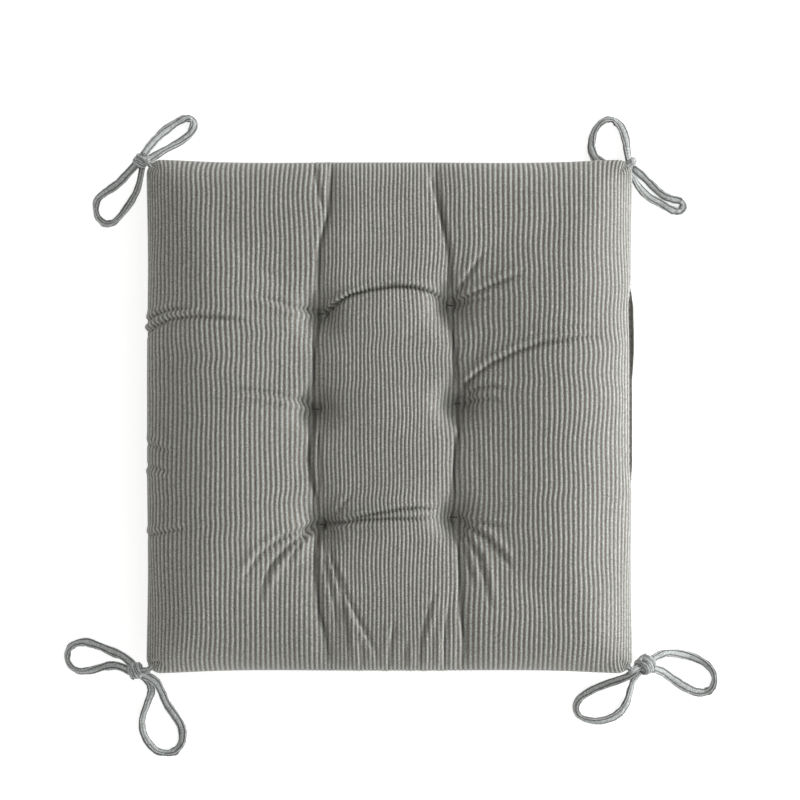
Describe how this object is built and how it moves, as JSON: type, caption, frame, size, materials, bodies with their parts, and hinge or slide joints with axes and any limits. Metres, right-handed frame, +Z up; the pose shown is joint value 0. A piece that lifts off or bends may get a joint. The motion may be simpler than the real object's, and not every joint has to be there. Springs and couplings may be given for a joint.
{
  "type": "chair seat pad",
  "caption": "Square tufted seat pad in ribbed corduroy, with a rolled sewn edge and a knotted tie bow at each corner.",
  "frame": {"origin": "middle of the underside, on the surface that the pad lies on", "axes": "+Z up from that surface, +Y towards the chair's back, +X to the sitter's right seen from the front"},
  "size_m": [0.5446, 0.5343, 0.062],
  "materials": {
    "corduroy": "ribbed pile, matte",
    "fibre_filling": "loose white polyester fibre",
    "thread": "spun polyester thread",
    "tie_strap": "folded ribbed strap, matte"
  },
  "bodies": {
    "pad": {"top_cover": "corduroy", "bottom_cover": "corduroy", "filling": "fibre_filling", "tuft_thread_back_left": "thread", "tuft_thread_back_right": "thread", "tuft_thread_middle_left": "thread", "tuft_thread_middle_right": "thread", "tuft_thread_front_left": "thread", "tuft_thread_front_right": "thread", "perimeter_seam_thread": "thread", "closing_seam_thread": "thread", "tie_anchor_back_left": "tie_strap", "tie_anchor_back_right": "tie_strap", "tie_anchor_front_left": "tie_strap", "tie_anchor_front_right": "tie_strap"},
    "tie_back_left": {"tie_stem_back_left": "tie_strap", "tie_knot_back_left": "tie_strap", "tie_loop_back_left_back": "tie_strap", "tie_loop_back_left_left": "tie_strap"},
    "tie_back_right": {"tie_stem_back_right": "tie_strap", "tie_knot_back_right": "tie_strap", "tie_loop_back_right_back": "tie_strap", "tie_loop_back_right_right": "tie_strap"},
    "tie_front_left": {"tie_stem_front_left": "tie_strap", "tie_knot_front_left": "tie_strap", "tie_loop_front_left_left": "tie_strap", "tie_loop_front_left_front": "tie_strap"},
    "tie_front_right": {"tie_stem_front_right": "tie_strap", "tie_knot_front_right": "tie_strap", "tie_loop_front_right_right": "tie_strap", "tie_loop_front_right_front": "tie_strap"}
  },
  "joints": [
    {"name": "tie_swing_back_left", "type": "hinge", "parent": "pad", "child": "tie_back_left", "pos_m": [-0.2, 0.21, 0.031], "axis": [0.7071, 0.7071, 0], "range_deg": [-12, 110]},
    {"name": "tie_swing_back_right", "type": "hinge", "parent": "pad", "child": "tie_back_right", "pos_m": [0.2, 0.21, 0.031], "axis": [0.7071, -0.7071, 0], "range_deg": [-5, 110]},
    {"name": "tie_swing_front_left", "type": "hinge", "parent": "pad", "child": "tie_front_left", "pos_m": [-0.2, -0.21, 0.031], "axis": [-0.7071, 0.7071, 0], "range_deg": [-25, 110]},
    {"name": "tie_swing_front_right", "type": "hinge", "parent": "pad", "child": "tie_front_right", "pos_m": [0.2, -0.21, 0.031], "axis": [-0.7071, -0.7071, 0], "range_deg": [-12, 110]}
  ]
}
